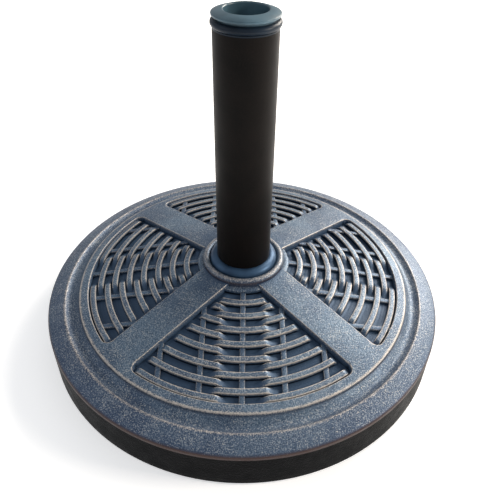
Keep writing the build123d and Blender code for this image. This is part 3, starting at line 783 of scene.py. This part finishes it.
# %% Turning
def arc(start, through, end, steps=10):
    """Corners along the arc from start through a third point to end, without its start."""
    (ax, ay), (bx, by), (cx, cy) = start, through, end
    twice = 2 * (ax * (by - cy) + bx * (cy - ay) + cx * (ay - by))
    squares = [x * x + y * y for x, y in (start, through, end)]
    middle_x = (squares[0] * (by - cy) + squares[1] * (cy - ay) + squares[2] * (ay - by)) / twice
    middle_y = (squares[0] * (cx - bx) + squares[1] * (ax - cx) + squares[2] * (bx - ax)) / twice
    angles = [math.atan2(y - middle_y, x - middle_x) for x, y in (start, through, end)]
    turn = sum((b - a + math.pi) % (2 * math.pi) - math.pi for a, b in zip(angles, angles[1:]))
    size = math.hypot(ax - middle_x, ay - middle_y)
    ways = [angles[0] + turn * step / steps for step in range(1, steps + 1)]
    return [(middle_x + size * math.cos(way), middle_y + size * math.sin(way), 0) for way in ways]


def turned(name, outline, rays=160):
    """A closed outline of (radius, height, rounding) in millimetres, swept about the upright axis."""
    line = rounded(outline)
    angles = [2 * math.pi * ray / rays for ray in range(rays)]
    points = [(r * math.cos(a) * MM, r * math.sin(a) * MM, z * MM) for a in angles for r, z in line]
    count = len(line)
    faces = [(a * count + s, b * count + s, b * count + t, a * count + t)
             for a, b in ((ray, (ray + 1) % rays) for ray in range(rays))
             for s, t in ((station, (station + 1) % count) for station in range(count))]
    return mesh_piece(name, points, faces)


def reach(node):
    """Outer radius, foot and top of a round CAD node, in millimetres."""
    low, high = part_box(node)
    return high.y / MM, low.z / MM, high.z / MM


# %% Tube and collar
TUBE_WALL = 1.5
tube_r, tube_low, tube_top = reach("socket_tube")
tube = turned("upright_tube", [(tube_r - TUBE_WALL, tube_low, 0.3), (tube_r, tube_low, 0.3),
                               (tube_r, tube_top, 0.4), (tube_r - TUBE_WALL, tube_top, 0.4)])

collar_r, collar_low, collar_top = reach("foot_collar")
collar_bore = tube_r + 0.1
shoulder = (collar_r, collar_top - 7.0)
bulge = (tube_r + 6.12, collar_top - 2.4)
skirt_r = collar_bore + 3.2
ledge_z = collar_top - 13.0
collar = turned("smooth_collar", [
    (collar_bore, collar_top - 0.1, 0), (collar_bore, collar_low, 0.4), (skirt_r, collar_low, 0.4),
    (skirt_r, ledge_z, 0.3), (collar_r, ledge_z, 0.3),
    (*shoulder, 0), *arc(shoulder, bulge, (collar_bore, collar_top), 12)[:-1]])

# %% Cap and reducer
CAP_BORE_R = 24.7
SLEEVE_R = 24.62
REDUCER_BORE_R = 20.0
MOUTH_ROUNDING = 1.5
cap_r, cap_low, cap_top = reach("tube_cap")
cap_neck_r = tube_r - 1.6
cap_ring_low = tube_top + 1.2
ring_start = (cap_r - 3.5, cap_ring_low)
ring_end = (cap_r - 3.5, cap_top)
cap = turned("cap_ring", [
    (CAP_BORE_R, cap_top, 0.5), (CAP_BORE_R, cap_low, 0.6), (cap_neck_r, cap_low, 0.6),
    (cap_neck_r, tube_top, 0), (tube_r, tube_top, 0), (tube_r, cap_ring_low, 0), (*ring_start, 0),
    *arc(ring_start, (cap_r, (cap_ring_low + cap_top) / 2), ring_end, 14)])

lip_r, sleeve_low, lip_top = reach("reducer_insert")
neck_r = lip_r - 4.0
mouth_edge = (REDUCER_BORE_R + MOUTH_ROUNDING, lip_top)
mouth_inner = (REDUCER_BORE_R, lip_top - MOUTH_ROUNDING)
reducer = turned("loose_reducer", [
    (REDUCER_BORE_R, sleeve_low, 0.6), (SLEEVE_R, sleeve_low, 0.6), (SLEEVE_R, cap_top, 0),
    (neck_r, cap_top, 0), (neck_r, cap_top + 2.8, 0.4), (lip_r, cap_top + 2.8, 0.4),
    (lip_r, cap_top + 4.8, 0.7), (*mouth_edge, 0),
    *arc(mouth_edge, (REDUCER_BORE_R + 0.44, lip_top - 0.44), mouth_inner, 5)])

# %% [markdown]
# ## Foot pads
# Six rubber pads hold the disc off the paving. Each is a short disc with raised rings under it, which
# give it grip. The rings repeat in a pad and the pads repeat round the base, so one tree makes all.

# %% Tree of the pads
pad_low, pad_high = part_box("foot_pad_1")
pad_radius = (pad_high.x - pad_low.x) / 2
PADS = {
    "Pads": 6, "Circle Radius": (pad_low.x + pad_high.x) / 2, "Pad Radius": pad_radius,
    "Height": pad_high.z, "Rings": 3, "Ring Width": 1.7 * MM, "Groove Depth": 1.2 * MM,
}


def pad_tree():
    """Six pads on a circle, each a disc on concentric rings."""
    tree, sizes = new_tree("ringed_pads", PADS)
    body_height = add_node(tree, "ShaderNodeMath", {0: sizes["Height"], 1: sizes["Groove Depth"]},
                           operation="SUBTRACT")
    body = add_node(tree, "GeometryNodeMeshCylinder",
                    {"Vertices": 48, "Radius": sizes["Pad Radius"], "Depth": body_height})
    half = add_node(tree, "ShaderNodeMath", {0: body_height, 1: 0.5, 2: sizes["Groove Depth"]},
                    operation="MULTIPLY_ADD")
    middle = add_node(tree, "ShaderNodeCombineXYZ", {"Z": half})
    seated = add_node(tree, "GeometryNodeTransform", {"Geometry": body, "Translation": middle})
    starts = add_node(tree, "GeometryNodeMeshLine", {"Count": sizes["Rings"], "Offset": (0, 0, 0)})
    circle = add_node(tree, "GeometryNodeCurvePrimitiveCircle", {"Resolution": 40, "Radius": 1.0})
    index = add_node(tree, "GeometryNodeInputIndex")
    step = add_node(tree, "ShaderNodeMath", {0: sizes["Pad Radius"], 1: sizes["Rings"]}, operation="DIVIDE")
    number = add_node(tree, "ShaderNodeMath", {0: index, 1: 1.0}, operation="ADD")
    outer = add_node(tree, "ShaderNodeMath", {0: number, 1: step}, operation="MULTIPLY")
    inset = add_node(tree, "ShaderNodeMath", {0: sizes["Ring Width"], 1: -0.5, 2: outer},
                     operation="MULTIPLY_ADD")
    size = add_node(tree, "ShaderNodeCombineXYZ", {"X": inset, "Y": inset, "Z": 1.0})
    copies = add_node(tree, "GeometryNodeInstanceOnPoints",
                      {"Points": starts, "Instance": circle, "Scale": size})
    paths = add_node(tree, "GeometryNodeRealizeInstances", {"Geometry": copies})
    # The rings reach a little way up into the disc above them, so that no gap shows.
    ring_height = add_node(tree, "ShaderNodeMath", {0: sizes["Groove Depth"], 1: 1.4}, operation="MULTIPLY")
    section = add_node(tree, "GeometryNodeCurvePrimitiveQuadrilateral",
                       {"Width": sizes["Ring Width"], "Height": ring_height})
    rings = add_node(tree, "GeometryNodeCurveToMesh", {0: paths, 1: section})
    lift = add_node(tree, "ShaderNodeMath", {0: ring_height, 1: 0.5}, operation="MULTIPLY")
    up = add_node(tree, "ShaderNodeCombineXYZ", {"Z": lift})
    grounded = add_node(tree, "GeometryNodeTransform", {"Geometry": rings, "Translation": up})
    join = tree.nodes.new("GeometryNodeJoinGeometry")
    tree.links.new(grounded, join.inputs[0])
    tree.links.new(seated, join.inputs[0])
    places = add_node(tree, "GeometryNodeMeshCircle",
                      {"Vertices": sizes["Pads"], "Radius": sizes["Circle Radius"]})
    pads = add_node(tree, "GeometryNodeInstanceOnPoints", {"Points": places, "Instance": join.outputs[0]})
    whole = add_node(tree, "GeometryNodeRealizeInstances", {"Geometry": pads})
    painted = add_node(tree, "GeometryNodeSetMaterial", {"Geometry": whole, "Material": sizes["Material"]})
    tree.links.new(painted, tree.nodes.new("NodeGroupOutput").inputs[0])
    return tree


# %% [markdown]
# ## Finishes of the other pieces
# The tube is powder-coated steel: a dark brown-black skin with a faint orange peel. The collar, cap
# and reducer are moulded plastic, smooth and a little glossy. What is out of sight gets its own plain
# finish too: black polypropylene, rubber, zinc plate and concrete. They differ in colour, gloss and
# grain but are made in the same way, so one function makes them all. Each starts from the usual
# IOR and roughness of its material, and a grain of a millimetre or two is coarser than the real one,
# so that it shows.


# %% A moulded or sprayed skin
WANDER_SIZE = 30
GLOSS_SPREAD = 0.05


def skinned(name, ground, coats, fine, rise, rough, **even_values):
    """A surface with a colour that wanders between coats, a fine bump, and patchy gloss.

    fine is the size of the bump's pattern and rise its height, both in millimetres.
    """
    finish, tree, surface, place = new_finish(name, **even_values)
    clouds, grains = [
        add_node(tree, "ShaderNodeTexNoise", {"Vector": place, "Scale": 1 / (size * MM), "Detail": 3.0})
        for size in (WANDER_SIZE, fine)]
    drivers = {"clouds": clouds, "grains": grains}
    skin = coated(tree, ground, *[(code, drivers[which], *ramp) for code, which, *ramp in coats])
    bump = add_node(tree, "ShaderNodeBump", {"Height": grains, "Distance": rise * MM, "Strength": 0.6})
    gloss = add_node(tree, "ShaderNodeMapRange",
                     {0: clouds, 1: 0.3, 2: 0.7, 3: rough - GLOSS_SPREAD, 4: rough + GLOSS_SPREAD})
    for output, label in ((skin, "Base Color"), (gloss, "Roughness"), (bump, "Normal")):
        tree.links.new(output, surface[label])
    return finish


# %% Finishes that show
# Powder coat is a thin plastic skin on the steel, so it isn't metallic. Its orange peel is 1.5 mm wide.
powder_coat = skinned("brown_black_powder_coat", "#100c0a",
                      [("#0b0908", "clouds", 0.35, 0.65, 1.0), ("#17110e", "grains", 0.5, 0.7, 0.5)],
                      1.5, 0.05, 0.48, IOR=1.5, Specular_IOR_Level=0.09)
# The collar is a blue-grey moulding with metal pigment, smoother than the disc round it, so it keeps a
# clear highlight.
collar_plastic = skinned("moulded_blue_grey_plastic", "#293f57",
                         [("#37516c", "clouds", 0.35, 0.65, 1.0)], 0.8, 0.02, 0.4, IOR=1.5,
                         Metallic=0.45, Specular_IOR_Level=0.3)
# The cap and the reducer in it are one polypropylene. The cap is coloured darker as painted shade on
# its ring, and the reducer paler and slightly green as a painted highlight on its lip, which faces up.
cap_plastic_painted_shade = skinned("moulded_polypropylene_painted_shade", "#141d27",
                      [("#1b2835", "clouds", 0.35, 0.65, 1.0)], 0.8, 0.02, 0.36, IOR=1.49,
                      Specular_IOR_Level=0.16)
reducer_plastic_painted_light = skinned("moulded_polypropylene_painted_light", "#38505c",
                          [("#4a6674", "clouds", 0.35, 0.65, 1.0)], 0.8, 0.02, 0.34, IOR=1.49,
                          Specular_IOR_Level=0.45)

# %% Finishes out of sight
# The cover and the pole's seat are black polypropylene, whose moulded grain makes it dull.
black_plastic = skinned("black_polypropylene", "#17181a",
                        [("#202225", "grains", 0.45, 0.6, 1.0)], 1.2, 0.08, 0.55, IOR=1.49)
# Rubber is nearly black and quite matt, so its rings show by their shadows alone.
pad_rubber = skinned("black_rubber", "#121212",
                     [("#1c1c1b", "clouds", 0.35, 0.65, 1.0)], 0.9, 0.06, 0.8, IOR=1.52)
# Zinc plate is uncoated metal, pale and a little yellow, and blurs what it mirrors.
zinc_plate = skinned("electroplated_zinc", "#a9a99f",
                     [("#8d8f8c", "clouds", 0.35, 0.65, 1.0), ("#c0bda9", "grains", 0.5, 0.7, 0.5)],
                     2.5, 0.02, 0.38, Metallic=1.0)
# Concrete is matt and grey, with dark pores about 2 mm wide.
concrete = skinned("cast_concrete", "#8b8882",
                   [("#77746e", "clouds", 0.35, 0.65, 1.0), ("#5f5d59", "grains", 0.6, 0.7, 0.8)],
                   2.0, 0.5, 0.9, IOR=1.5)

# %% Put the finishes on
pads = grow("ringed_foot_pads", pad_tree(), {**PADS, "Material": pad_rubber})
for piece, finish in ((tube, powder_coat), (collar, collar_plastic), (cap, cap_plastic_painted_shade),
                      (reducer, reducer_plastic_painted_light)):
    piece.data.materials.append(finish)

hidden_finishes = {
    "concrete_ballast": concrete, "bottom_cover": black_plastic, "pole_seat_plug": black_plastic,
    "tube_end_plate": powder_coat, "weld_nut": zinc_plate, "centre_bolt": zinc_plate,
    "plate_washer": zinc_plate, "lock_washer": zinc_plate,
}
for node, finish in hidden_finishes.items():
    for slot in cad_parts[node].material_slots:
        slot.material = finish
print(len(hidden_finishes), "CAD nodes keep their mesh")

# %% [markdown]
# ## Bodies
# Everything rides on the base except the reducer, which lifts out of the cap. Each piece names the
# CAD nodes that it stands for, and hides them.

# %% Ride and replace
pad_nodes = [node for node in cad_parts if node.startswith("foot_pad_")]
for piece, body, nodes, slot in (
        (disc, "base", ["base_shell"], "painted_resin"),
        (strands, "base", ["base_shell"], "painted_resin"),
        (stakes, "base", ["base_shell"], "painted_resin"),
        (tube, "base", ["socket_tube"], "powder_coated_steel"),
        (collar, "base", ["foot_collar"], "moulded_collar"),
        (cap, "base", ["tube_cap"], "moulded_cap"),
        (pads, "base", pad_nodes, "rubber"),
        (reducer, "reducer", ["reducer_insert"], "moulded_cap")):
    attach(piece, body)
    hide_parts(*nodes)
